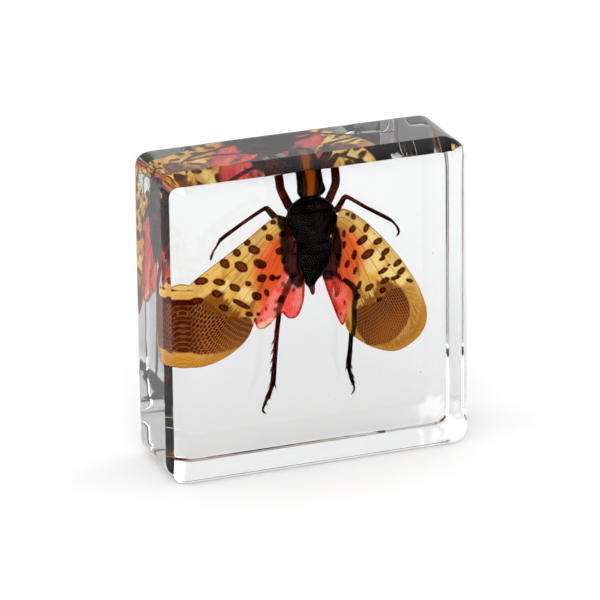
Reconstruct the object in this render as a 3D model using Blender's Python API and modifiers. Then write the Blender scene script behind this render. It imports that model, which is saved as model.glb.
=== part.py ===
"""A square block of clear cast resin with a spread lanternfly sealed inside it.

Lengths are in millimetres and places are measured from the middle of the block: across to the right,
depth to the back and up. place() turns them into metres, with the foot of the block on the ground.
The casting is parted at the plane of the wings, and each half holds one side of the insect's pocket.
"""

import math

import bmesh
import bpy
from mathutils import Vector

MM = 0.001

# The casting
BLOCK_WIDTH = 44.0
BLOCK_HEIGHT = 44.2
BLOCK_DEPTH = 14.5
CORNER_RADIUS = 2.1  # the four edges that run from front to back
CORNER_STEPS = 6
EDGE_RADIUS = 0.9  # the edges round the two large faces
EDGE_STEPS = 4
EDGE_ANGLE = 60.0  # degrees; only an edge that turns further is rounded the second time
PARTING_GAP = 0.3  # between the two halves
POCKET_GAP = 0.3  # clearance all round the insect

# The insect
WING_THICKNESS = 0.35
FOREWING_DEPTH = -0.13  # middle of the wing, in front of the parting plane
HINDWING_DEPTH = 0.13
WING_STEPS = 4  # straight lengths from one point of an outline to the next
BODY_SIDES = 14
LEG_ROUNDNESS = 1
SMOOTH_ANGLE = 40.0  # degrees; a sharper edge stays crisp in the shading
WELD_DISTANCE = 0.0001  # joins a tube's end caps to its wall

# Rings of the body from its front end to its tail: up, middle across, half width, front and back
THORAX_RINGS = [
    (15.3, 0.3, 1.6, -0.8, 2.2),
    (14.8, 0.3, 2.9, -1.6, 3.0),
    (13.8, 0.3, 3.9, -2.1, 3.6),
    (12.2, 0.3, 4.1, -2.4, 3.9),
    (9.8, 0.4, 3.5, -2.2, 3.7),
    (7.2, 0.4, 2.8, -1.6, 3.2),
    (5.0, 0.5, 1.8, -1.1, 2.6),
    (3.3, 0.6, 1.2, -0.6, 1.9),
    (2.2, 0.5, 0.6, -0.2, 1.2),
    (1.5, 0.4, 0.25, 0.1, 0.7),
]
HEAD_RINGS = [
    (20.3, 0.3, 1.1, -0.3, 1.5),
    (19.6, 0.3, 1.7, -0.8, 2.0),
    (17.6, 0.3, 2.0, -1.1, 2.3),
    (16.0, 0.3, 1.8, -1.0, 2.3),
    (14.6, 0.3, 1.5, -0.6, 2.0),
]

# Wing outlines, across and up, each going round the wing from its root
FOREWING_LEFT = [
    (-3.9, 12.9), (-5.6, 13.4), (-9.0, 11.1), (-13.3, 8.4), (-17.0, 6.0), (-19.8, 3.2),
    (-20.9, -0.3), (-20.5, -3.6), (-18.7, -6.1), (-16.0, -6.7), (-12.4, -5.7), (-9.5, -3.6),
    (-7.9, -0.4), (-6.0, 2.3), (-4.2, 5.2), (-3.4, 9.4),
]
FOREWING_RIGHT = [
    (4.1, 12.9), (5.6, 13.2), (8.6, 10.7), (11.6, 7.3), (14.1, 3.8), (16.2, 0.0),
    (17.2, -3.8), (16.1, -6.7), (12.8, -8.5), (9.3, -7.6), (6.2, -5.4), (5.0, -3.4),
    (5.4, 0.0), (4.3, 4.2), (3.4, 8.6),
]
HINDWING_LEFT = [
    (-2.6, 12.2), (-5.0, 12.2), (-8.2, 9.6), (-9.6, 6.0), (-9.2, 2.0), (-8.2, -1.5),
    (-7.4, -2.5), (-6.0, -2.0), (-4.5, -0.5), (-3.3, -1.5), (-1.9, -1.3), (-1.0, 1.0),
    (-0.9, 4.4), (-1.7, 8.4),
]
HINDWING_RIGHT = [
    (3.3, 12.2), (5.2, 12.2), (7.9, 9.2), (8.7, 5.7), (7.3, 1.7), (5.6, -1.6),
    (4.8, -3.6), (4.1, -2.8), (3.2, -0.4), (2.1, 2.8), (1.7, 4.8), (2.5, 8.4),
]

# Legs from hip to claw: across, depth, up and radius at each joint
LEGS = {
    "front leg left": [
        (-1.2, 2.4, 12.6, 0.75), (-2.6, 2.3, 14.5, 0.68), (-3.6, 2.1, 16.6, 0.66),
        (-4.4, 1.7, 18.8, 0.62), (-4.8, 1.3, 20.4, 0.45), (-6.8, 1.7, 20.7, 0.32),
        (-12.5, 3.0, 20.2, 0.28), (-15.9, 2.8, 19.1, 0.2),
    ],
    "front leg right": [
        (1.8, 2.4, 12.6, 0.75), (3.4, 2.3, 14.5, 0.68), (4.3, 2.1, 16.6, 0.66),
        (4.4, 1.7, 18.8, 0.62), (4.0, 1.3, 20.4, 0.45), (6.0, 1.7, 20.8, 0.32),
        (10.6, 3.0, 20.7, 0.28), (14.8, 2.9, 20.3, 0.2),
    ],
    "middle leg left": [
        (-1.4, 3.2, 11.4, 0.6), (-4.2, 3.5, 12.7, 0.5), (-5.3, 3.6, 14.2, 0.4),
        (-8.6, 3.6, 12.6, 0.32), (-12.0, 3.6, 10.6, 0.3), (-12.9, 3.6, 9.4, 0.2),
        (-13.7, 3.6, 7.9, 0.2),
    ],
    "middle leg right": [
        (2.0, 3.2, 11.4, 0.6), (4.8, 3.5, 12.7, 0.5), (6.3, 3.6, 14.4, 0.4),
        (9.2, 3.6, 12.5, 0.32), (12.9, 3.6, 9.8, 0.3), (13.9, 3.6, 8.7, 0.2),
        (14.1, 3.6, 7.8, 0.2), (13.6, 3.6, 7.4, 0.2),
    ],
    "hind leg left": [
        (-1.0, 2.9, 7.6, 0.6), (-2.2, 2.8, 3.6, 0.52), (-3.9, 2.6, 0.6, 0.45),
        (-4.4, 2.6, -3.6, 0.38), (-5.0, 2.6, -11.2, 0.4), (-5.7, 2.6, -13.1, 0.26),
        (-6.5, 2.6, -14.8, 0.24), (-6.1, 2.6, -15.7, 0.2),
    ],
    "hind leg right": [
        (1.6, 2.9, 7.6, 0.6), (4.7, 2.8, 3.6, 0.52), (6.8, 2.6, 0.8, 0.45),
        (6.8, 2.6, -4.6, 0.4), (6.1, 2.6, -10.4, 0.4), (6.4, 2.6, -12.4, 0.26),
        (7.0, 2.6, -13.9, 0.24), (6.5, 2.6, -14.8, 0.2),
    ],
}

RESIN_COLOUR = (0.96, 0.97, 0.97, 1.0)
RESIN_ROUGHNESS = 0.02
RESIN_IOR = 1.5
INSECT_COLOUR = (0.16, 0.07, 0.025, 1.0)
INSECT_ROUGHNESS = 0.45


def place(across, depth, up):
    """A point given from the middle of the block, in metres above the ground."""
    return Vector((across, depth, up + BLOCK_HEIGHT / 2)) * MM


def clear_scene():
    for obj in list(bpy.data.objects):
        bpy.data.objects.remove(obj, do_unlink=True)


def new_collection(name):
    collection = bpy.data.collections.new(name)
    bpy.context.scene.collection.children.link(collection)
    return collection


def new_material(name, colour, roughness, transmission=0.0, ior=1.45):
    material = bpy.data.materials.new(name)
    material.use_nodes = True
    shader = material.node_tree.nodes["Principled BSDF"]
    shader.inputs["Base Color"].default_value = colour
    shader.inputs["Roughness"].default_value = roughness
    shader.inputs["Metallic"].default_value = 0.0
    shader.inputs["Transmission Weight"].default_value = transmission
    shader.inputs["IOR"].default_value = ior
    return material


def shade_round(mesh):
    """Shades the mesh smooth, and keeps its sharp edges crisp."""
    mesh.shade_smooth()
    mesh.set_sharp_from_angle(angle=math.radians(SMOOTH_ANGLE))


def object_from_bmesh(name, shape, collection):
    mesh = bpy.data.meshes.new(name)
    shape.to_mesh(mesh)
    shape.free()
    shade_round(mesh)
    obj = bpy.data.objects.new(name, mesh)
    collection.objects.link(obj)
    return obj


def make_cutter(obj):
    """A helper is not rendered, and shows as wires."""
    obj.hide_render = True
    obj.display_type = "WIRE"
    return obj


def add_boolean(obj, other, operation):
    """Joins or cuts obj with another object, or with every object of a collection."""
    boolean = obj.modifiers.new(operation.lower() + " " + other.name, "BOOLEAN")
    boolean.operation = operation
    boolean.solver = "EXACT"
    if isinstance(other, bpy.types.Collection):
        boolean.operand_type = "COLLECTION"
        boolean.collection = other
    else:
        boolean.object = other


def box(name, size, centre, collection):
    shape = bmesh.new()
    bmesh.ops.create_cube(shape, size=1.0)
    bmesh.ops.scale(shape, vec=Vector(size) * MM, verts=shape.verts)
    obj = object_from_bmesh(name, shape, collection)
    obj.location = place(*centre)
    return obj


def loft(name, rings, grow, collection):
    """A closed solid through level oval rings, larger all round by grow."""
    lowest, *between, highest = sorted(rings)
    lowest = (lowest[0] - grow, *lowest[1:])
    highest = (highest[0] + grow, *highest[1:])
    shape = bmesh.new()
    loops = []
    for up, across, half_width, front, back in (lowest, *between, highest):
        middle, half_depth = (front + back) / 2, (back - front) / 2
        loop = []
        for step in range(BODY_SIDES):
            angle = math.tau * (step + 0.5) / BODY_SIDES
            x = across + (half_width + grow) * math.cos(angle)
            y = middle + (half_depth + grow) * math.sin(angle)
            loop.append(shape.verts.new(place(x, y, up)))
        loops.append(loop)
    for lower, upper in zip(loops, loops[1:]):
        for step in range(BODY_SIDES):
            after = (step + 1) % BODY_SIDES
            shape.faces.new((lower[step], lower[after], upper[after], upper[step]))
    shape.faces.new(reversed(loops[0]))
    shape.faces.new(loops[-1])
    return object_from_bmesh(name, shape, collection)


def mesh_from_curve(obj, collection):
    """Turns a curve object into a welded mesh object of the same name, and removes the curve."""
    bpy.context.view_layer.update()
    graph = bpy.context.evaluated_depsgraph_get()
    mesh = bpy.data.meshes.new_from_object(obj.evaluated_get(graph))
    shape = bmesh.new()
    shape.from_mesh(mesh)
    bmesh.ops.remove_doubles(shape, verts=shape.verts, dist=WELD_DISTANCE * MM)
    bmesh.ops.recalc_face_normals(shape, faces=shape.faces)
    shape.to_mesh(mesh)
    shape.free()
    shade_round(mesh)
    name, matrix = obj.name, obj.matrix_world.copy()
    bpy.data.objects.remove(obj, do_unlink=True)
    solid = bpy.data.objects.new(name, mesh)
    solid.matrix_world = matrix
    collection.objects.link(solid)
    return solid


def grown_outline(outline, grow):
    """The outline with each point moved outwards by grow."""
    points = [Vector(point) for point in outline]
    count = len(points)
    turn = sum(points[i - 1].cross(points[i]) for i in range(count))
    grown = []
    for i, point in enumerate(points):
        along = (points[(i + 1) % count] - points[i - 1]).normalized()
        outward = Vector((along.y, -along.x)) * math.copysign(1.0, turn)
        grown.append(point + outward * grow)
    return grown


def wing(name, outline, depth, grow, collection):
    """A flat wing: a smooth closed outline, extruded to its thickness."""
    curve = bpy.data.curves.new(name, "CURVE")
    curve.dimensions = "2D"
    curve.fill_mode = "BOTH"
    curve.resolution_u = WING_STEPS
    curve.extrude = (WING_THICKNESS / 2 + grow) * MM
    spline = curve.splines.new("BEZIER")
    spline.bezier_points.add(len(outline) - 1)
    for point, (across, up) in zip(spline.bezier_points, grown_outline(outline, grow)):
        point.co = Vector((across, up, 0.0)) * MM
        point.handle_left_type = "AUTO"
        point.handle_right_type = "AUTO"
    spline.use_cyclic_u = True
    obj = bpy.data.objects.new(name, curve)
    collection.objects.link(obj)
    obj.rotation_euler = (math.radians(90), 0.0, 0.0)
    obj.location = place(0.0, depth, 0.0)
    return mesh_from_curve(obj, collection)


def leg(name, joints, grow, collection):
    """A leg as one tube through its joints, thinner towards the claw."""
    curve = bpy.data.curves.new(name, "CURVE")
    curve.dimensions = "3D"
    curve.bevel_depth = MM
    curve.bevel_resolution = LEG_ROUNDNESS
    curve.use_fill_caps = True
    spline = curve.splines.new("POLY")
    spline.points.add(len(joints) - 1)
    points = [place(*joint[:3]) for joint in joints]
    points[-1] = points[-1] + (points[-1] - points[-2]).normalized() * grow * MM
    for point, where, joint in zip(spline.points, points, joints):
        point.co = (*where, 1.0)
        point.radius = joint[3] + grow
    obj = bpy.data.objects.new(name, curve)
    collection.objects.link(obj)
    return mesh_from_curve(obj, collection)


def make_insect(name, grow, collection):
    """The whole insect in one solid: its body, with each other piece joined on. Its pocket is the
    same shapes, larger all round by grow."""
    body = loft(name, THORAX_RINGS, grow, collection)
    helpers = new_collection(name + " pieces")
    wings = {
        "hindwing left": (HINDWING_LEFT, HINDWING_DEPTH),
        "hindwing right": (HINDWING_RIGHT, HINDWING_DEPTH),
        "forewing left": (FOREWING_LEFT, FOREWING_DEPTH),
        "forewing right": (FOREWING_RIGHT, FOREWING_DEPTH),
    }
    pieces = [loft(name + " head", HEAD_RINGS, grow, helpers)]
    for piece, (outline, depth) in wings.items():
        pieces.append(wing(name + " " + piece, outline, depth, grow, helpers))
    for piece, joints in LEGS.items():
        pieces.append(leg(name + " " + piece, joints, grow, helpers))
    for piece in pieces:
        make_cutter(piece)
    add_boolean(body, helpers, "UNION")
    return body


def make_block(name, collection):
    """The whole casting, with its corners rounded and then the edges of its two large faces."""
    block = box(name, (BLOCK_WIDTH, BLOCK_DEPTH, BLOCK_HEIGHT), (0.0, 0.0, 0.0), collection)
    block.data.set_sharp_from_angle(angle=math.pi)  # no crisp edge, since all of them are rounded below
    weights = block.data.attributes.new("bevel_weight_edge", "FLOAT", "EDGE")
    for edge in block.data.edges:
        first, second = (block.data.vertices[i].co for i in edge.vertices)
        weights.data[edge.index].value = float(abs(first.y - second.y) > MM)
    corners = block.modifiers.new("rounded corners", "BEVEL")
    corners.limit_method = "WEIGHT"
    corners.width = CORNER_RADIUS * MM
    corners.segments = CORNER_STEPS
    corners.harden_normals = True
    edges = block.modifiers.new("polished edges", "BEVEL")
    edges.limit_method = "ANGLE"
    edges.angle_limit = math.radians(EDGE_ANGLE)
    edges.width = EDGE_RADIUS * MM
    edges.segments = EDGE_STEPS
    edges.harden_normals = True
    return block


def make_half(name, side, pocket, helpers, collection):
    """One half of the casting: side is -1 at the front and 1 at the back."""
    half = make_block(name, collection)
    size = (2 * BLOCK_WIDTH, BLOCK_DEPTH, 2 * BLOCK_HEIGHT)
    middle = (0.0, -side * (BLOCK_DEPTH - PARTING_GAP) / 2, 0.0)
    other_half = make_cutter(box(name + " parting", size, middle, helpers))
    add_boolean(half, other_half, "DIFFERENCE")
    add_boolean(half, pocket, "DIFFERENCE")
    half.data.materials.append(new_material(name + " resin", RESIN_COLOUR, RESIN_ROUGHNESS, 1.0, RESIN_IOR))


def main():
    clear_scene()
    parts = new_collection("insect in resin block")
    helpers = new_collection("cutters")
    insect = make_insect("insect", 0.0, parts)
    insect.data.materials.append(new_material("dried insect", INSECT_COLOUR, INSECT_ROUGHNESS))
    pocket = make_cutter(make_insect("pocket", POCKET_GAP, helpers))
    make_half("block_front", -1, pocket, helpers, parts)
    make_half("block_back", 1, pocket, helpers, parts)


main()
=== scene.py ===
import math

import bpy
import numpy as np
from mathutils import Matrix, Vector


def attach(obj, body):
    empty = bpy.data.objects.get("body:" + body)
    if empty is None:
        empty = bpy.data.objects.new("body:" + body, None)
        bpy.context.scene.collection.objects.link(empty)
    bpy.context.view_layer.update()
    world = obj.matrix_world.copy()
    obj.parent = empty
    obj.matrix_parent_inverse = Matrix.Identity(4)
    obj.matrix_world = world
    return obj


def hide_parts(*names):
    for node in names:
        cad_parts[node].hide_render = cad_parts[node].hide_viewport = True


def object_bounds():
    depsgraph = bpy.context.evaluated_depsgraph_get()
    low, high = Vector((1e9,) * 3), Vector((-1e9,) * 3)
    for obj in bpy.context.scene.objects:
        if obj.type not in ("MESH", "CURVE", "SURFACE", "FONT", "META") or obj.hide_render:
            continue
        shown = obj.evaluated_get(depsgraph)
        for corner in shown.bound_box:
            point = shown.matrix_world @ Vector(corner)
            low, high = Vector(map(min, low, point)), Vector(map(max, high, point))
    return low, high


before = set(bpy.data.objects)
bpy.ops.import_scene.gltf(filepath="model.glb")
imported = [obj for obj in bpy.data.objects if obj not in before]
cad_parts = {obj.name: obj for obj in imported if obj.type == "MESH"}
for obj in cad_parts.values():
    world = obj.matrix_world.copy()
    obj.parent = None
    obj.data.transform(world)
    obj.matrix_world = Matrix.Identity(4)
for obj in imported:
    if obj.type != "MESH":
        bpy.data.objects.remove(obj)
cadLow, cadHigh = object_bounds()
blockMiddle = (cadLow + cadHigh) / 2  # the insect is measured from here: across, depth and up
mm = 0.001
print("frame loaded, block", [round(side / mm, 1) for side in cadHigh - cadLow], "mm")


def place(across, depth, up):  # millimetres from the middle of the block to metres in the frame
    return blockMiddle + Vector((across, depth, up)) * mm


def hexColour(code):  # sRGB hex to the linear colour that a socket takes
    parts = [int(code[i:i + 2], 16) / 255 for i in (1, 3, 5)]
    return [part / 12.92 if part <= 0.04045 else ((part + 0.055) / 1.055) ** 2.4 for part in parts] + [1.0]


# inputs go by name or in the node's own order; each is a value, a hex colour, a socket, or a node for its
# first output
def addNode(tree, kind, inputs=(), **settings):
    node = tree.nodes.new(kind)
    for name, value in settings.items():
        setattr(node, name, value)
    if not isinstance(inputs, dict):
        inputs = dict(zip([i for i, socket in enumerate(node.inputs) if socket.enabled], inputs))
    for socket, given in inputs.items():
        if isinstance(given, bpy.types.Node):
            given = next(output for output in given.outputs if output.enabled)
        if isinstance(given, bpy.types.NodeSocket):
            tree.links.new(given, node.inputs[socket])
        else:
            node.inputs[socket].default_value = hexColour(given) if str(given).startswith("#") else given
    return node


# the camera: a long lens, a little above and to the left of the block
camera = {
    "place": (-257.05, -678.78, 269.45),  # mm from the middle of the block
    "lens": 336.0,
    "sensor": 36.0,
    "turn": 20.70,  # degrees, to the right
    "tip": 20.38,  # degrees, downwards
    "roll": -0.69,
}


def makeCamera():
    turn, tip, roll = (math.radians(camera[name]) for name in ("turn", "tip", "roll"))
    forward = Vector((math.sin(turn) * math.cos(tip), math.cos(turn) * math.cos(tip), -math.sin(tip)))
    level = Vector((math.cos(turn), -math.sin(turn), 0))
    upright = level.cross(forward)
    right = level * math.cos(roll) + upright * math.sin(roll)
    up = upright * math.cos(roll) - level * math.sin(roll)
    data = bpy.data.cameras.new("camera")
    data.lens = camera["lens"]
    data.sensor_width = camera["sensor"]
    data.clip_start = 0.05
    data.clip_end = 20.0
    made = bpy.data.objects.new("camera", data)
    bpy.context.scene.collection.objects.link(made)
    turned = Matrix((right, up, -forward)).transposed().to_4x4()
    made.matrix_world = Matrix.Translation(place(*camera["place"])) @ turned
    bpy.context.scene.camera = made


makeCamera()
print("camera placed")


def newMaterial(name):
    material = bpy.data.materials.new(name)
    material.use_nodes = True
    return material, material.node_tree, material.node_tree.nodes["Principled BSDF"]


def millimetres(tree):  # the place on the object, for patterns with scales per millimetre
    where = addNode(tree, "ShaderNodeTexCoord").outputs["Object"]
    return addNode(tree, "ShaderNodeVectorMath", [where, 1 / mm], operation="SCALE").outputs[0]


# a look is a dictionary with hex colours and, in "layers", what lies over each of them: a colour, and masks
# that are multiplied; a mask is a field alone, a field and a factor, or a field that goes from one value to
# another, with its share before and after, 0 and 1 unless given
def painted(tree, look, field, name):
    colour = look[name]
    for over, *masks in look["layers"].get(name, []):
        shares = []
        for label, *span in masks:
            share = field[label]
            if len(span) == 1:
                share = addNode(tree, "ShaderNodeMath", [share, *span], operation="MULTIPLY")
            elif span:
                share = addNode(tree, "ShaderNodeMapRange", [share, *span], interpolation_type="SMOOTHSTEP")
            shares.append(share)
        joined = shares[0]
        for share in shares[1:]:
            joined = addNode(tree, "ShaderNodeMath", [joined, share],
                             operation="MAXIMUM" if over in look.get("either", ()) else "MULTIPLY")
        upper = painted(tree, look, field, over)
        colour = addNode(tree, "ShaderNodeMix", [joined, colour, upper], data_type="RGBA").outputs[2]
    return colour


def keepPiece(mesh, name, material, slot, *nodes):  # rides with the block and stands for the nodes
    mesh.name = name
    mesh.shade_smooth()
    mesh.materials.clear()
    mesh.materials.append(material)
    piece = bpy.data.objects.new(name, mesh)
    bpy.context.scene.collection.objects.link(piece)
    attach(piece, "root")
    if nodes:
        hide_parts(*nodes)
    print("made", name, len(mesh.polygons), "faces")


def newTree(name, inputs):  # a geometry node tree with named inputs
    tree = bpy.data.node_groups.new(name, "GeometryNodeTree")
    tree.interface.new_socket(name="geometry", in_out="INPUT", socket_type="NodeSocketGeometry")
    for label, kind in inputs.items():
        tree.interface.new_socket(name=label, in_out="INPUT", socket_type="NodeSocket" + kind)
    tree.interface.new_socket(name="geometry", in_out="OUTPUT", socket_type="NodeSocketGeometry")
    return tree, addNode(tree, "NodeGroupInput").outputs


def endTree(tree, geometry, material):  # instances made real, and the material set
    real = addNode(tree, "GeometryNodeRealizeInstances", [geometry])
    coated = addNode(tree, "GeometryNodeSetMaterial", {"Geometry": real, "Material": material})
    addNode(tree, "NodeGroupOutput", [coated])


def runTree(tree, source, values):  # the tree's result on the source mesh, as a plain mesh
    holder = bpy.data.objects.new("holder", source)
    bpy.context.scene.collection.objects.link(holder)
    modifier = holder.modifiers.new(tree.name, "NODES")
    modifier.node_group = tree
    for item in tree.interface.items_tree:
        if item.in_out == "INPUT" and item.name in values:
            modifier[item.identifier] = values[item.name]
    bpy.context.view_layer.update()
    mesh = bpy.data.meshes.new_from_object(holder.evaluated_get(bpy.context.evaluated_depsgraph_get()))
    bpy.data.objects.remove(holder)
    return mesh


def pointOutwards(mesh):  # turns a closed mesh whose faces point inwards
    mesh.calc_loop_triangles()
    points = np.array([vertex.co for vertex in mesh.vertices])
    corners = points[np.array([triangle.vertices[:] for triangle in mesh.loop_triangles])]
    if np.linalg.det(corners - points.mean(0)).sum() < 0:
        mesh.flip_normals()


def closedMesh(name, points, faces, fields):  # points in mm, and each field's value at each of them
    mesh = bpy.data.meshes.new(name)
    mesh.from_pydata((points * mm + np.array(blockMiddle)).tolist(), [], faces)
    for label, values in fields.items():
        field = mesh.attributes.new(label, "FLOAT", "POINT")
        field.data.foreach_set("value", values.astype(np.float32))
    pointOutwards(mesh)
    return mesh


def smoothRows(rows, steps):  # rows of numbers on an even curve through those given, steps to each
    given = np.array(rows, float)
    padded = np.vstack([2 * given[0] - given[1], given, 2 * given[-1] - given[-2]])
    made = []
    for before, start, end, after in zip(padded, padded[1:], padded[2:], padded[3:]):
        for t in np.arange(steps) / steps:
            made.append(0.5 * (2 * start + (end - before) * t
                               + (2 * before - 5 * start + 4 * end - after) * t ** 2
                               + (3 * start - before - 3 * end + after) * t ** 3))
    return np.array(made + [given[-1]])


def evenRows(rows, count, columns=2):  # the same line at even distances, measured in its first columns
    steps = np.linalg.norm(np.diff(rows[:, :columns], axis=0), axis=1)
    along = np.concatenate([[0], np.cumsum(steps)])
    wanted = np.linspace(0, along[-1], count)
    return np.stack([np.interp(wanted, along, column) for column in rows.T], axis=1)


def lineMesh(name, lines):  # open lines of (across, depth, up, radius) as edges with a girth
    mesh = bpy.data.meshes.new(name)
    edges, start = [], 0
    for line in lines:
        edges += [(i, i + 1) for i in range(start, start + len(line) - 1)]
        start += len(line)
    mesh.from_pydata([place(*row[:3]) for line in lines for row in line], edges, [])
    girth = mesh.attributes.new("girth", "FLOAT", "POINT")
    girth.data.foreach_set("value", [row[3] * mm for line in lines for row in line])
    return mesh


# the cast block: a box whose faces turn over softly near their edges, front and back apart
resin = {
    "sizes": {  # mm
        "zone": 2.7,  # from an edge to where a face starts to turn over
        "leftDepth": 1.95,  # that each front edge's turn takes from front to back
        "rightDepth": 1.5,
        "topDepth": 1.0,
        "bottomDepth": 1.0,
        "backDepth": 2.4,
        "ledge": 6.3,  # that the steep slope beyond a crease would take if it had the whole turn
    },
    "shape": {
        "leftCrease": 0.58,  # where the left and top turns end in a crease, 1 at the face and 0 at the side
        "topCrease": 0.775,
        "cornerPower": 2.7,  # the four edges from front to back, about R 2.1
        "frontPower": 2.0,  # sanded round
        "backPower": 9.0,  # left nearly sharp, about R 0.6
        "flatShare": 0.22,  # of the grid lines, for the flat middle of a face
        "lines": 92,  # grid lines across a face
        "depthLines": 110,
    },
    "ior": 1.5,
    "tint": "#FDFEFE",
    "absorption": 8.5,  # per metre
    "waves": 90.0,  # per metre, so that the swells are 11 mm long
    "waveDepth": 0.0002,
    "waveShare": 0.05,
}


def resinMaterial():
    # cast polyester resin, polished: water clear, with a mirror gloss and a faint waviness from sanding
    material, tree, shader = newMaterial("polished cast polyester resin")
    shader.inputs["Base Color"].default_value = hexColour(resin["tint"])
    shader.inputs["IOR"].default_value = resin["ior"]
    shader.inputs["Transmission Weight"].default_value = 1.0
    shader.inputs["Roughness"].default_value = 0.0
    where = addNode(tree, "ShaderNodeTexCoord").outputs["Object"]
    wave = addNode(tree, "ShaderNodeTexNoise", {"Scale": resin["waves"], "Detail": 1.0, "Vector": where})
    bump = addNode(tree, "ShaderNodeBump",
                   {"Strength": resin["waveShare"], "Distance": resin["waveDepth"], "Height": wave})
    tree.links.new(bump.outputs[0], shader.inputs["Normal"])
    grey = addNode(tree, "ShaderNodeVolumeAbsorption", {"Color": "#000000", "Density": resin["absorption"]})
    tree.links.new(grey.outputs[0], tree.nodes["Material Output"].inputs["Volume"])
    return material


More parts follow.
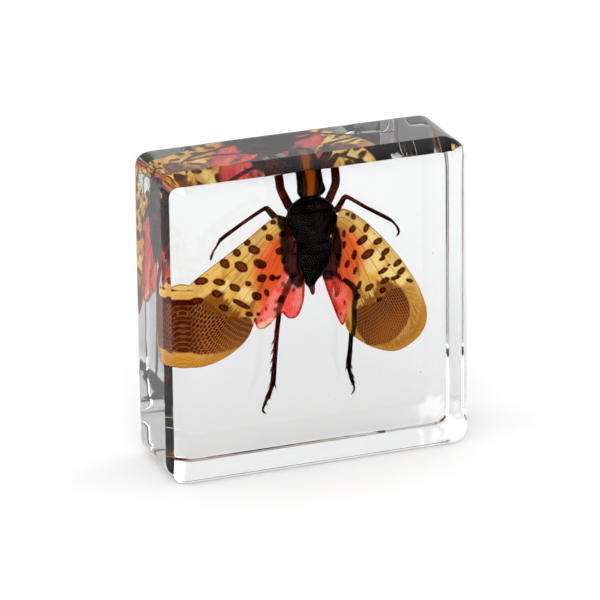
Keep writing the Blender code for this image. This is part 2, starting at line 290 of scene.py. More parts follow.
def blockTree():
    kinds = {"halfSize": "Vector", "middle": "Vector", "material": "Material"}
    kinds.update({name: "Float" for name in (*resin["sizes"], *resin["shape"])})
    kinds.update({"lines": "Int", "depthLines": "Int"})
    tree, given = newTree("soft block", kinds)
    cube = addNode(tree, "GeometryNodeMeshCube",
                   {"Size": (2, 2, 2), "Vertices X": given["lines"], "Vertices Y": given["depthLines"],
                    "Vertices Z": given["lines"]})
    made = {name: given[name] for name in kinds}
    made["position"] = addNode(tree, "GeometryNodeInputPosition")
    number, vector, mix = "ShaderNodeMath", "ShaderNodeVectorMath", "ShaderNodeMix"
    split, join = "ShaderNodeSeparateXYZ", "ShaderNodeCombineXYZ"
    ones, zeros = (1, 1, 1), (0, 0, 0)
    steps = [  # name, node, operation and inputs; a split gives its name with X, Y and Z
        ("sign", split, "", "position"),
        ("toRight", number, "GREATER_THAN", "signX", 0.0),
        ("behind", number, "GREATER_THAN", "signY", 0.0),
        ("above", number, "GREATER_THAN", "signZ", 0.0),
        # how far into the flat middle and into the edge zone, with closer lines towards the edge
        ("away", vector, "ABSOLUTE", "position"),
        ("ofFlat", vector, "DIVIDE", "away", "flatShare"),
        ("inFlat", vector, "MINIMUM", "ofFlat", ones),
        ("pastFlat", vector, "SUBTRACT", "away", "flatShare"),
        ("zoneShare", number, "SUBTRACT", 1.0, "flatShare"),
        ("ofZone", vector, "DIVIDE", "pastFlat", "zoneShare"),
        ("inZone", vector, "MAXIMUM", "ofZone", zeros),
        ("rest", vector, "SUBTRACT", ones, "inZone"),
        ("restSquared", vector, "MULTIPLY", "rest", "rest"),
        ("eased", vector, "SUBTRACT", ones, "restSquared"),
        ("eased", split, "", "eased"),
        # 1 near a left or right edge, 0 near the top or bottom, and between in a corner
        ("acrossSquared", number, "POWER", "easedX", 2.0),
        ("upSquared", number, "POWER", "easedZ", 2.0),
        ("bothSquared", number, "ADD", "acrossSquared", "upSquared"),
        ("notZero", number, "ADD", "bothSquared", 0.0001),
        ("atSide", number, "DIVIDE", "acrossSquared", "notZero"),
        # the turn's depth, and the crease that the left and top front turns end in
        ("endDepth", mix, "", "above", "bottomDepth", "topDepth"),
        ("sideDepth", mix, "", "toRight", "leftDepth", "rightDepth"),
        ("frontDepth", mix, "", "atSide", "endDepth", "sideDepth"),
        ("turn", mix, "", "behind", "frontDepth", "backDepth"),
        ("endCrease", number, "MULTIPLY", "topCrease", "above"),
        ("toLeft", number, "SUBTRACT", 1.0, "toRight"),
        ("sideCrease", number, "MULTIPLY", "leftCrease", "toLeft"),
        ("anyCrease", mix, "", "atSide", "endCrease", "sideCrease"),
        ("inFront", number, "SUBTRACT", 1.0, "behind"),
        ("creaseAt", number, "MULTIPLY", "anyCrease", "inFront"),
        ("twice", number, "MULTIPLY", "creaseAt", 2.0),
        ("extra", number, "MINIMUM", "twice", 1.0),
        ("fall", number, "ADD", 1.0, "extra"),  # a creased turn is a parabola, the others are round
        ("crease", number, "MULTIPLY", "creaseAt", "creaseAt"),
        ("beforeCrease", number, "SUBTRACT", 1.0, "crease"),
        ("gentle", number, "MULTIPLY", "turn", "beforeCrease"),
        ("steep", number, "MULTIPLY", "ledge", "crease"),
        ("depth", number, "ADD", "gentle", "steep"),
        ("zones", join, "", "zone", "depth", "zone"),
        ("flatSize", vector, "SUBTRACT", "halfSize", "zones"),
        ("inner", vector, "MULTIPLY", "flatSize", "inFlat"),
        # the zone's grid is drawn in from a cube's edge to a rounded one
        ("edgePower", mix, "", "behind", "frontPower", "backPower"),
        ("acrossPart", number, "POWER", "easedX", "cornerPower"),
        ("upPart", number, "POWER", "easedZ", "cornerPower"),
        ("corner", number, "ADD", "acrossPart", "upPart"),
        ("ratio", number, "DIVIDE", "edgePower", "cornerPower"),
        ("cornerPart", number, "POWER", "corner", "ratio"),
        ("depthPart", number, "POWER", "easedY", "edgePower"),
        ("whole", number, "ADD", "cornerPart", "depthPart"),
        ("inverse", number, "DIVIDE", -1.0, "edgePower"),
        ("shrink", number, "POWER", "whole", "inverse"),
        ("drawnIn", vector, "MULTIPLY", "eased", "shrink"),
        ("unit", split, "", "drawnIn"),
        # the depth there, past the crease too
        ("level", number, "POWER", "unitY", "fall"),
        ("kept", number, "MAXIMUM", "level", "crease"),
        ("dropped", number, "SUBTRACT", 1.0, "kept"),
        ("turned", number, "MULTIPLY", "turn", "dropped"),
        ("below", number, "SUBTRACT", "crease", "level"),
        ("past", number, "MAXIMUM", "below", 0.0),
        ("sloped", number, "MULTIPLY", "ledge", "past"),
        ("reached", number, "ADD", "turned", "sloped"),
        ("sunk", number, "DIVIDE", "reached", "depth"),
        ("along", number, "SUBTRACT", 1.0, "sunk"),
        ("bent", join, "", "unitX", "along", "unitZ"),
        ("outer", vector, "MULTIPLY", "bent", "zones"),
        ("quarter", vector, "ADD", "inner", "outer"),
        ("side", vector, "SIGN", "position"),
        ("box", vector, "MULTIPLY", "quarter", "side"),
        ("placed", vector, "ADD", "box", "middle"),
    ]
    for name, kind, operation, *inputs in steps:
        sources = [made[source] if isinstance(source, str) else source for source in inputs]
        node = addNode(tree, kind, sources, **({"operation": operation} if operation else {}))
        if kind == split:
            made.update({name + letter: node.outputs[letter] for letter in "XYZ"})
        else:
            made[name] = node
    soft = addNode(tree, "GeometryNodeSetPosition", {"Geometry": cube, "Position": made["placed"]})
    endTree(tree, soft, given["material"])
    return tree


def makeBlock():
    material = resinMaterial()
    values = {"halfSize": (cadHigh - cadLow) / 2, "middle": blockMiddle, "material": material}
    values.update({name: size * mm for name, size in resin["sizes"].items()})
    values.update(resin["shape"])
    mesh = runTree(blockTree(), bpy.data.meshes.new("block start"), values)
    keepPiece(mesh, "clear_block", material, "clear_resin", "block_front", "block_back")


makeBlock()


# markings: fields worked out at each point of a wing, in millimetres
farAway = 99.0  # where nothing is near


def ovals(x, z, rows):  # where each point is along and across each tilted oval, 1 at its edge
    for across, up, length, breadth, tilt in rows:
        angle = math.radians(tilt)
        along = (x - across) * math.cos(angle) + (z - up) * math.sin(angle)
        over = (z - up) * math.cos(angle) - (x - across) * math.sin(angle)
        yield along * 2 / length, over * 2 / breadth, min(length, breadth) / 2


def spotField(x, z, spots):  # distance outside the nearest spot, below 0 inside it
    nearest = np.full(x.shape, farAway)
    for along, over, half in ovals(x, z, spots):
        reach = (abs(along) ** 2.2 + abs(over) ** 2.2) ** (1 / 2.2)
        nearest = np.minimum(nearest, (reach - 1) * half)
    return nearest


def blobField(x, z, blobs):  # 1 in the middle of a blob and 0 well outside them all
    strongest = np.zeros(x.shape)
    for along, over, half in ovals(x, z, blobs):
        strongest = np.maximum(strongest, np.exp(-1.1 * (along ** 2 + over ** 2)))
    return strongest


def lineField(x, z, line):  # distance from an open line, or from its edge where its points have a radius
    nearest = np.full(x.shape, farAway)
    for (x0, z0, *start), (x1, z1, *end) in zip(line, line[1:]):
        lengthSquared = (x1 - x0) ** 2 + (z1 - z0) ** 2
        t = np.clip(((x - x0) * (x1 - x0) + (z - z0) * (z1 - z0)) / lengthSquared, 0, 1)
        away = np.hypot(x - x0 - t * (x1 - x0), z - z0 - t * (z1 - z0))
        if start:
            away = away - (start[0] + t * (end[0] - start[0]))
        nearest = np.minimum(nearest, away)
    return nearest


def areaField(x, z, outline):  # distance from a closed outline, below 0 inside it
    inside = np.zeros(x.shape, bool)
    for (x0, z0), (x1, z1) in zip(outline, outline[1:] + outline[:1]):
        if z0 != z1:
            inside ^= ((z0 > z) != (z1 > z)) & (x < (x1 - x0) * (z - z0) / (z1 - z0) + x0)
    away = lineField(x, z, outline + outline[:1])
    return np.where(inside, -away, away)


def curved(outline, steps=5):  # a closed outline with rounder corners
    rows = smoothRows(outline[-2:] + outline + outline[:2], steps)
    return [tuple(row) for row in rows[2 * steps:-3 * steps]]


# the dark folds of the wings beside the body
foldLeft = [
    (-4.9, 13.8), (-4.9, 12.6), (-4.4, 11.6), (-4.5, 10.0), (-4.2, 7.0), (-3.9, 5.6), (-3.2, 4.6),
    (-2.8, 3.6), (-2.0, 2.8), (-1.2, 2.8), (-0.6, 4.5), (0.0, 8.0), (0.0, 13.4),
]
foldRight = [
    (1.0, 12.0), (3.4, 12.2), (4.2, 10.6), (4.7, 8.4), (4.5, 6.4), (4.2, 4.9), (3.8, 4.0), (3.2, 3.3),
    (2.4, 3.2), (1.7, 3.8), (1.0, 5.0),
]

# how far the red of the hindwings shows through the forewings, painted on their front faces as a painted
# glow; on the right it is the whole hindwing
redLeft = [
    (-2.6, 12.2), (-5.0, 12.2), (-8.2, 9.6), (-9.6, 6.0), (-9.2, 2.0), (-8.2, -1.5), (-7.4, -2.5),
    (-6.0, -2.0), (-4.5, -0.5), (-3.3, -1.5), (-1.9, -1.3), (-1.0, 1.0), (-0.9, 4.4), (-1.7, 8.4),
]
redRight = [
    (3.3, 12.2), (5.2, 12.2), (7.9, 9.2), (8.7, 5.7), (7.3, 1.7), (5.6, -1.6), (4.8, -3.6), (4.1, -2.8),
    (3.2, -0.4), (2.1, 2.8), (1.7, 4.8), (2.5, 8.4),
]

membrane = {
    "rows": 150,  # of the grid, from root to margin
    "columns": 120,  # from the leading edge to the inner edge
    "seed": 7,
    "swell": 0.10,  # mm
    "swellWaves": (0.55, 0.5),  # radians per mm, across and up
    "ripple": 0.03,
    "rippleWaves": (1.7, 1.9),
    "pleat": 0.10,
    "pleatWidth": 1.7,
    "roughness": 0.45,
    "ior": 1.04,  # chitin, 1.56, set in resin
    "bumpShare": 0.3,
    "bumpDepth": 0.00005,
    "noises": {"cloudy": (0.45, 3.0), "ragged": (1.7, 1.5)},  # scale per mm and detail
    "raggedBy": 0.24,  # mm from side to side, at the edges of these markings
    "raggedEdges": ["spots", "patch", "smear", "fold", "rim"],
}

forewings = {
    "thickness": 0.10,  # mm, several times the real membrane's, so that it doesn't tear at this scale
    "depth": -0.16,
    "straw": "#ECC35A",
    "ochre": "#D0902C",
    "pale": "#FAE8A6",
    "vein": "#8E5516",
    "edge": "#7A4A1A",
    "amber": "#DEA846",
    "amberLine": "#B47A28",
    "dash": "#8E5418",
    # painted glow: orange and red where the hindwing shows through the forewing
    "orange": "#FFA44E",
    "red": "#FF703A",
    "spot": "#581A0C",
    "spotMiddle": "#8A3A18",
    "cell": "#6E2C0E",
    "cellPale": "#B4662A",
    "cellVein": "#CC9254",
    "smear": "#9A541A",
    "fold": "#140B09",
    # painted shade: the dark of a leg that lies behind the forewing and shows through it
    "behind": "#120A07",
    "through": 1.28,  # a membrane passes light mostly straight on, so it looks brighter than a diffuser
    "streaks": (0.09, 0.8, 1.0),  # per cell, drawn out from root to margin
    "sparse": 3.5,  # per mm, for the gaps between dashes
    "jag": 3.0,  # mm, of the smear's edge
    "veinWidth": (0.02, 0.07),  # mm
    "fields": "spots patch smear smudges veins red fold behind rim run over out around lead dashed bold pales"
              " lighter",
    "nets": {  # cells with veins between them; lengths in cells, and drifts as per mm and cells
        "net": {"along": "run", "over": "over", "drifts": [(0.8, 0.55), (3.2, 0.5)],
                "length": 1.7, "line": 0.18, "soft": 0.7},
        "lines": {"along": "out", "over": "around", "drifts": [(0.9, 0.5)],
                  "length": 9.0, "line": 0.22, "soft": 0.9},
        "dashes": {"along": "out", "over": "around", "drifts": [(0.8, 0.55), (3.2, 0.5)],
                   "length": 1.7, "line": 0.28, "soft": 0.6},
    },
    "either": ["pale"],  # the strongest of its masks counts
    "layers": {
        "straw": [
            ("ochre", ("cloudy", 0.46, 0.66, 0.0, 0.8)),
            ("pale", ("streak", 0.40, 0.66, 0.0, 0.5), ("lead", 0.9, 2.4, 0.5, 0.0),
             ("pales", 0.15, 0.75)),
            # the painted glow of the red hindwing seen through
            ("orange", ("red", 0.0, 0.8, 0.0, 0.88)),
            ("vein", ("red", 0.2, 0.7), ("streak", 0.42, 0.64, 0.0, 0.3)),
            ("vein", ("ridge",)),
            ("edge", ("lead", 0.08, 0.20, 0.7, 0.0)),
            ("amber", ("rim", 0.9, 2.6, 0.95, 0.0)),
            ("dash", ("out", 11.0, 15.0, 0.85, 0.0), ("patch", 1.7, 2.8, 1.0, 0.0), ("dashed",),
             ("out", 1.2, 3.5), ("sparse", 0.36, 0.52), ("between",)),
            ("cell", ("patch", -0.12, 0.15, 1.0, 0.0)),
            ("smear", ("jagged", -0.3, 0.3, 0.85, 0.0)),
            ("smear", ("smudges", 0.25, 0.9, 0.0, 0.6)),
            ("edge", ("rim", 0.02, 0.18, 0.6, 0.0)),
            ("spot", ("spots", -0.05, 0.07, 0.96, 0.0)),
            ("fold", ("fold", -0.2, 0.25, 0.96, 0.0)),
            # the painted shade of the leg behind
            ("behind", ("behind", -0.1, 0.1, 0.95, 0.0)),
        ],
        "orange": [("red", ("red", 0.3, 0.95))],
        "amber": [("amberLine", ("lines", 0.75))],
        "cell": [("cellPale", ("lighter",)), ("cellVein", ("net",), ("bold",))],
        "spot": [("spotMiddle", ("spots", -0.42, -0.12, 0.8, 0.0), ("red", 0.1, 0.5, 1.0, 0.0))],
    },
}

hindwings = {
    "thickness": 0.10,
    "depth": 0.16,
    "veinSpacing": 0.42,  # mm
    "red": "#F66454",
    "pink": "#F8A090",
    "deep": "#CC2A14",
    "rim": "#C01C10",
    "pale": "#FFDCCB",
    "smudge": "#8E3E18",
    "spot": "#4A1A10",
    "fold": "#24100F",
    "foldPale": "#451A1C",
    # painted shade: the dark of a leg that lies behind the hindwing and shows through it
    "behind": "#451408",
    "through": 1.35,
    "fields": "spots smudges pale deep fold behind rim run over",
    "nets": {
        "net": {"along": "run", "over": "over", "drifts": [(0.8, 1.6)],
                "length": 3.4, "line": 0.08, "soft": 0.8},
    },
    "layers": {
        "red": [
            ("pink", ("cloudy", 0.38, 0.60)),
            ("deep", ("deep", 0.2, 0.8, 0.0, 0.85)),
            ("pale", ("net", 0.35)),
            ("rim", ("rim", 0.10, 0.45, 0.8, 0.0)),
            ("pale", ("pale", 0.25, 0.85, 0.0, 0.9)),
            ("smudge", ("smudges", 0.25, 0.9, 0.0, 0.85)),
            # the painted shade of the leg behind
            ("behind", ("behind", -0.15, 0.08, 0.85, 0.0)),
            ("spot", ("spots", -0.07, 0.1, 0.95, 0.0)),
            ("fold", ("fold", -0.25, 0.3, 0.95, 0.0)),
        ],
        "fold": [("foldPale", ("cloudy", 0.35, 0.7))],
    },
}

wings = {
    "forewing_left": {
        "outline": [
            (-3.9, 12.9), (-5.6, 13.4), (-9.0, 11.1), (-13.3, 8.4), (-17.0, 6.0), (-19.8, 3.2),
            (-20.9, -0.3), (-20.5, -3.6), (-18.7, -6.1), (-16.0, -6.7), (-12.4, -5.7), (-9.5, -3.6),
            (-7.9, -0.4), (-6.0, 2.3), (-4.2, 5.2), (-3.4, 9.4),
        ],
        "tip": 5, "heel": 11,
        "spots": [
            (-5.4, 12.9, 0.9, 0.7, -20), (-6.7, 12.25, 0.9, 0.75, -60), (-6.05, 10.8, 1.2, 0.95, -35),
            (-9.25, 10.5, 1.25, 0.9, -55), (-8.3, 9.3, 1.85, 1.2, -32), (-10.8, 9.2, 1.3, 1.0, -50),
            (-12.6, 7.9, 1.75, 1.2, -45), (-10.2, 7.1, 2.15, 1.35, -38), (-7.4, 7.1, 2.05, 1.25, -32),
            (-4.6, 8.6, 1.15, 1.0, -45), (-16.0, 5.8, 2.1, 1.1, -5), (-13.4, 5.3, 1.8, 1.0, -22),
            (-11.2, 4.2, 1.75, 1.0, -30), (-9.2, 4.5, 1.05, 0.75, -30), (-7.2, 5.0, 1.5, 1.15, -5),
            (-5.65, 4.85, 1.1, 0.85, -50), (-4.8, 4.75, 1.0, 0.6, 10), (-13.8, 3.7, 1.7, 1.0, -30),
            (-8.0, 2.5, 1.65, 1.15, -35), (-6.5, 2.8, 1.3, 0.65, -70), (-10.3, 1.7, 3.0, 0.75, -33),
            (-12.9, 1.5, 1.6, 0.85, -30), (-9.1, 0.0, 1.3, 0.75, -20), (-7.8, -0.2, 0.7, 0.5, -50),
            (-8.1, -1.1, 0.9, 0.7, -60), (-16.9, 3.0, 2.2, 0.95, 5), (-15.1, 6.6, 0.5, 0.2, -20),
            (-18.6, 4.8, 2.3, 0.34, -8), (-4.2, 11.0, 0.9, 0.9, 0), (-3.8, 7.1, 1.0, 0.8, 0),
        ],
        "patch": [
            (-21.5, 4.2), (-18.0, 3.4), (-16.5, 3.5), (-14.5, 2.2), (-13.0, 0.6), (-11.0, -0.1),
            (-9.3, -0.4), (-8.6, -1.5), (-8.4, -2.8), (-9.6, -4.0), (-11.5, -4.7), (-14.0, -5.0),
            (-16.5, -4.8), (-18.0, -4.2), (-20.0, -3.8), (-21.5, -3.0),
        ],
        "smear": [
            (-16.1, 3.1), (-14.9, 3.9), (-12.8, 3.8), (-12.6, 2.8), (-11.7, 1.7), (-11.3, 0.7),
            (-10.5, 0.1), (-12.0, -0.2), (-14.0, 0.8), (-15.2, 1.65), (-16.3, 2.5),
        ],
        "smudges": [(-8.6, 1.4, 0.9, 3.0, -30), (-7.4, 3.8, 0.6, 4.6, -35), (-9.0, 0.3, 1.4, 0.9, 0)],
        "pales": [(-9.4, 2.9, 3.4, 2.2, -35), (-12.6, 4.6, 1.6, 2.4, -35), (-6.4, 8.9, 1.2, 2.6, -35)],
        "lighter": [(-11.0, -4.6, 9.0, 3.4, -5)],
        "glow": [],
        "dashed": 0.0,
        "veins": [
            (0.03, 0.10), (0.16, 0.30), (0.25, 0.42), (0.36, 0.56), (0.52, 0.66), (0.66, 0.78),
            (0.80, 0.88),
        ],
        "cell": 0.46,  # mm between the veins of its net
        "rimCell": 0.32,  # and of its rim, where they radiate from a point (across, up, radius)
        "rimMiddle": (-8.0, 4.0, 11.0),
        # where the hindwing lies under this wing, for the painted glow
        "under": redLeft,
        "fold": foldLeft,
        "behind": [],
    },
    "forewing_right": {
        "outline": [
            (4.1, 12.9), (5.6, 13.2), (8.6, 10.7), (11.6, 7.3), (14.1, 3.8), (16.2, 0.0), (17.2, -3.8),
            (16.1, -6.7), (12.8, -8.5), (9.3, -7.6), (6.2, -5.4), (5.0, -3.4), (5.4, 0.0), (4.3, 4.2),
            (3.4, 8.6),
        ],
        "tip": 5, "heel": 11,
        "spots": [
            (5.5, 12.6, 0.6, 0.55, 0), (6.3, 12.1, 1.05, 0.65, -60), (6.2, 10.3, 1.15, 0.95, 60),
            (8.25, 10.2, 1.25, 0.85, 65), (7.6, 8.5, 1.85, 1.05, 32), (9.4, 9.2, 0.3, 0.2, 0),
            (9.9, 8.0, 1.4, 0.95, 20), (4.9, 9.8, 1.2, 0.5, 85), (4.95, 8.2, 1.1, 0.6, 85),
            (8.35, 6.35, 2.1, 1.2, 25), (11.0, 6.3, 1.55, 0.9, 40), (10.5, 5.4, 0.95, 0.65, 25),
            (6.4, 6.5, 1.4, 0.75, 75), (4.2, 6.7, 0.8, 0.8, 0), (5.35, 5.3, 1.3, 0.65, 75),
            (12.8, 4.4, 1.45, 0.9, 35), (11.5, 4.3, 0.6, 0.4, 20), (10.7, 3.6, 1.6, 0.7, 20),
            (6.5, 4.2, 1.15, 0.6, 75), (13.4, 3.2, 1.35, 0.9, 30), (12.5, 2.3, 1.5, 0.65, 12),
            (10.9, 2.1, 1.5, 0.8, 18), (14.6, 1.6, 1.15, 0.6, -25), (8.6, 1.4, 1.45, 0.95, 30),
            (10.6, 0.7, 1.05, 0.85, 30), (7.1, 2.0, 1.35, 0.6, 70), (10.1, -0.6, 0.95, 0.6, 20),
            (6.8, 0.3, 1.1, 0.9, 25),
        ],
        "patch": [
            (6.2, -1.6), (6.9, -1.5), (8.0, -1.1), (8.9, -1.0), (10.0, -0.65), (10.9, 0.2), (11.8, 0.65),
            (13.1, 0.85), (13.6, 0.2), (14.3, -1.2), (14.6, -2.8), (14.3, -4.3), (13.6, -5.5), (12.2, -6.7),
            (10.5, -7.2), (8.4, -7.1), (7.6, -5.9), (6.7, -4.5), (6.2, -3.0),
        ],
        "smear": [
            (7.1, -1.4), (7.8, -0.4), (9.1, 0.3), (9.6, 1.3), (10.2, 2.0), (11.4, 2.15), (12.7, 1.3),
            (13.1, 0.8), (11.8, 0.5), (10.9, 0.0), (10.0, -0.9), (8.9, -1.3), (8.0, -1.4),
        ],
        "smudges": [(7.2, 1.0, 0.7, 3.0, 10), (6.9, 4.6, 0.6, 3.6, 10), (5.4, -3.6, 0.6, 2.0, 10)],
        "pales": [
            (9.6, 5.2, 3.4, 4.6, -40), (12.0, 3.4, 3.0, 4.2, -50), (13.5, 2.1, 2.0, 3.0, -50),
            (9.6, 9.2, 2.0, 6.0, -50),
        ],
        "lighter": [(11.8, -5.4, 8.0, 5.0, 25)],
        # more of the painted glow of the hindwing seen through
        "glow": [(5.9, 1.6, 1.9, 6.5, 0)],
        "dashed": 1.0,
        "veins": [(0.03, 0.10), (0.18, 0.28), (0.30, 0.46), (0.44, 0.60), (0.60, 0.74), (0.76, 0.86)],
        "cell": 0.30,
        "rimCell": 0.23,
        "rimMiddle": (10.4, -3.0, 5.2),
        "under": redRight,
        "fold": foldRight,
        # where a leg lies behind this forewing, as points with a radius: its painted shade goes there
        "behind": [
            (5.0, 3.0, 0.34), (5.9, 2.2, 0.42), (6.45, 1.4, 0.46), (6.6, 0.5, 0.44), (6.35, -1.0, 0.40),
            (6.3, -4.0, 0.36), (6.0, -5.8, 0.34),
        ],
    },
    "hindwing_left": {
        "outline": [
            (-2.6, 12.2), (-4.4, 12.2), (-6.6, 9.6), (-7.4, 6.0), (-8.3, 2.0), (-8.2, -1.5), (-7.4, -2.5),
            (-6.0, -2.0), (-4.5, -0.5), (-3.3, -1.5), (-1.9, -1.3), (-1.0, 1.0), (-0.9, 4.4), (-1.7, 8.4),
        ],
        "tip": 5, "heel": 11,
        "spots": [(-4.3, 1.4, 1.1, 1.1, -20), (-7.7, -0.3, 0.5, 0.4, 0)],
        "smudges": [
            (-4.0, 3.6, 1.4, 0.9, -60), (-2.5, 2.6, 0.8, 1.0, 0), (-6.6, 0.4, 0.6, 0.9, 20),
            (-7.3, -1.2, 0.5, 0.6, 0), (-5.2, 0.1, 0.9, 0.9, 20), (-5.0, 1.2, 0.8, 0.9, 20),
        ],
        "pale": [(-7.2, -1.9, 2.0, 1.3, 20), (-6.0, -1.4, 1.6, 0.9, 20), (-3.1, 4.4, 1.2, 0.8, -50)],
        "deep": [(-1.1, 1.6, 0.5, 3.6, 0), (-1.7, -0.8, 1.4, 0.5, 30), (-3.9, -0.6, 0.9, 0.5, -40)],
        "fold": foldLeft,
        # where a leg lies behind this hindwing, as points with a radius: its painted shade goes there
        "behind": [
            (-2.6, 4.6, 0.5), (-3.3, 3.2, 0.5), (-4.2, 1.4, 0.55), (-4.7, 0.0, 0.42), (-4.8, -0.8, 0.36),
        ],
    },
    "hindwing_right": {
        "outline": redRight,
        "tip": 4, "heel": 8,
        "spots": [
            (4.9, 3.6, 0.8, 0.7, 0), (5.3, 2.5, 0.7, 0.8, 0), (5.9, 1.3, 0.5, 0.7, 0),
            (5.7, 0.2, 0.5, 0.6, 0),
        ],
        "smudges": [
            (3.8, 1.0, 1.0, 1.2, -20), (5.0, -0.4, 0.5, 1.0, 0), (4.4, -1.9, 0.5, 0.8, 0),
            (3.4, 2.8, 1.0, 0.5, -20),
        ],
        "pale": [(3.4, 1.5, 0.22, 1.8, 8)],
        "deep": [
            (2.7, 1.6, 1.2, 4.0, 12), (3.6, -0.6, 1.0, 3.0, 15), (4.2, 3.4, 3.0, 2.6, 0),
            (3.6, 2.0, 2.2, 2.4, 20),
        ],
        "fold": foldRight,
        # where a leg lies behind this hindwing: its painted shade goes there
        "behind": [(2.4, 4.6, 0.4), (3.6, 4.0, 0.4), (4.6, 3.3, 0.42), (5.5, 2.4, 0.45), (6.3, 1.6, 0.45)],
    },
}


def wingGrid(wing):  # rows from root to margin, each from the leading edge to the inner edge
    rows, columns, steps = membrane["rows"], membrane["columns"], 8
    outline = wing["outline"]
    line = smoothRows(outline[-1:] + outline + outline[:2], steps)[steps:-steps]
    tip, heel, last = (i * steps for i in (wing["tip"], wing["heel"], len(outline) - 1))
    lead = evenRows(line[:tip + 1], rows)[:, None]
    margin = evenRows(line[tip:heel + 1], columns)[None]
    inner = evenRows(line[heel:last + 1][::-1], rows)[:, None]
    root = evenRows(np.array([outline[0], outline[-1]], float), columns)[None]
    u = np.linspace(0, 1, rows)[:, None, None]
    v = np.linspace(0, 1, columns)[None, :, None]
    corners = ((1 - u) * ((1 - v) * root[:, :1] + v * root[:, -1:])
               + u * ((1 - v) * margin[:, :1] + v * margin[:, -1:]))
    grid = (1 - v) * lead + v * inner + (1 - u) * root + u * margin - corners
    lengths = np.linalg.norm(np.diff(grid, axis=0), axis=2)
    run = np.concatenate([np.zeros((1, columns)), np.cumsum(lengths, axis=0)])
    breadths = np.linalg.norm(np.diff(grid, axis=1), axis=2).sum(1)
    over = v[..., 0] ** 1.35 * breadths[int(rows * 0.72)]  # finer towards the inner edge
    return grid[..., 0], grid[..., 1], run[-1] - run, over, u[..., 0], v[..., 0]


def sheetMesh(name, x, depth, z, thickness, fields):  # a closed sheet; a field is for both sides or a pair
    edge = np.ones(x.shape)
    edge[[0, -1]] = edge[:, [0, -1]] = 0.25
    sides = [np.stack([x, depth + side * thickness * edge, z], axis=-1).reshape(-1, 3)
             for side in (-0.5, 0.5)]
    index = np.arange(x.size).reshape(x.shape)
    front = np.stack([index[:-1, :-1], index[1:, :-1], index[1:, 1:], index[:-1, 1:]], axis=-1).reshape(-1, 4)
    rim = np.concatenate([index[0, :-1], index[:-1, -1], index[-1, :0:-1], index[:0:-1, 0]])
    after = np.roll(rim, -1)
    around = np.stack([rim, after, after + x.size, rim + x.size], axis=-1)
    faces = np.concatenate([front, front[:, ::-1] + x.size, around])
    values = {}
    for label, given in fields.items():
        pair = given if isinstance(given, tuple) else (given, given)
        values[label] = np.concatenate([np.broadcast_to(value, x.shape).ravel() for value in pair])
    return closedMesh(name, np.concatenate(sides), faces.tolist(), values)


def veinNet(tree, where, field, net):  # staggered cells: 1 on the veins, 0 between
    flow = addNode(tree, "ShaderNodeCombineXYZ", [field[net["along"]], field[net["over"]]])
    for scale, amount in net["drifts"]:
        noise = addNode(tree, "ShaderNodeTexNoise", {"Vector": where, "Scale": scale, "Detail": 1.0})
        drift = addNode(tree, "ShaderNodeVectorMath", [noise.outputs["Color"], amount], operation="SCALE")
        flow = addNode(tree, "ShaderNodeVectorMath", [flow, drift], operation="ADD")
    return addNode(tree, "ShaderNodeTexBrick",
                   {"Vector": flow, "Scale": 1.0, "Mortar Size": net["line"], "Mortar Smooth": net["soft"],
                    "Brick Width": net["length"], "Row Height": 1.0, "Bias": 0.0}, offset=0.5).outputs["Fac"]


def newMembrane(name, look):  # what both wing materials start from: noises in mm, and the fields
    material, tree, shader = newMaterial(name)
    where = millimetres(tree)
    noise = {label: addNode(tree, "ShaderNodeTexNoise", {"Vector": where, "Scale": scale, "Detail": detail})
             for label, (scale, detail) in membrane["noises"].items()}
    uneven = addNode(tree, "ShaderNodeMath",
                     [noise["ragged"], membrane["raggedBy"], -membrane["raggedBy"] / 2],
                     operation="MULTIPLY_ADD")
    field = {"cloudy": noise["cloudy"]}
    for label in look["fields"].split():
        field[label] = addNode(tree, "ShaderNodeAttribute", attribute_name=label).outputs["Fac"]
        if label in membrane["raggedEdges"]:
            field[label] = addNode(tree, "ShaderNodeMath", [field[label], uneven], operation="ADD")
    for label, net in look["nets"].items():
        field[label] = veinNet(tree, where, field, net)
    return material, tree, shader, where, field


def litMembrane(tree, shader, colour, height, gain):  # a membrane lets half of the light through
    shader.inputs["Roughness"].default_value = membrane["roughness"]
    shader.inputs["IOR"].default_value = membrane["ior"]
    tree.links.new(colour, shader.inputs["Base Color"])
    bump = addNode(tree, "ShaderNodeBump",
                   {"Strength": membrane["bumpShare"], "Distance": membrane["bumpDepth"], "Height": height})
    tree.links.new(bump.outputs[0], shader.inputs["Normal"])
    brighter = addNode(tree, "ShaderNodeVectorMath", [colour, gain], operation="SCALE")
    through = addNode(tree, "ShaderNodeBsdfTranslucent", {"Color": brighter})
    both = addNode(tree, "ShaderNodeMixShader", [0.5, shader, through])
    tree.links.new(both.outputs[0], tree.nodes["Material Output"].inputs["Surface"])


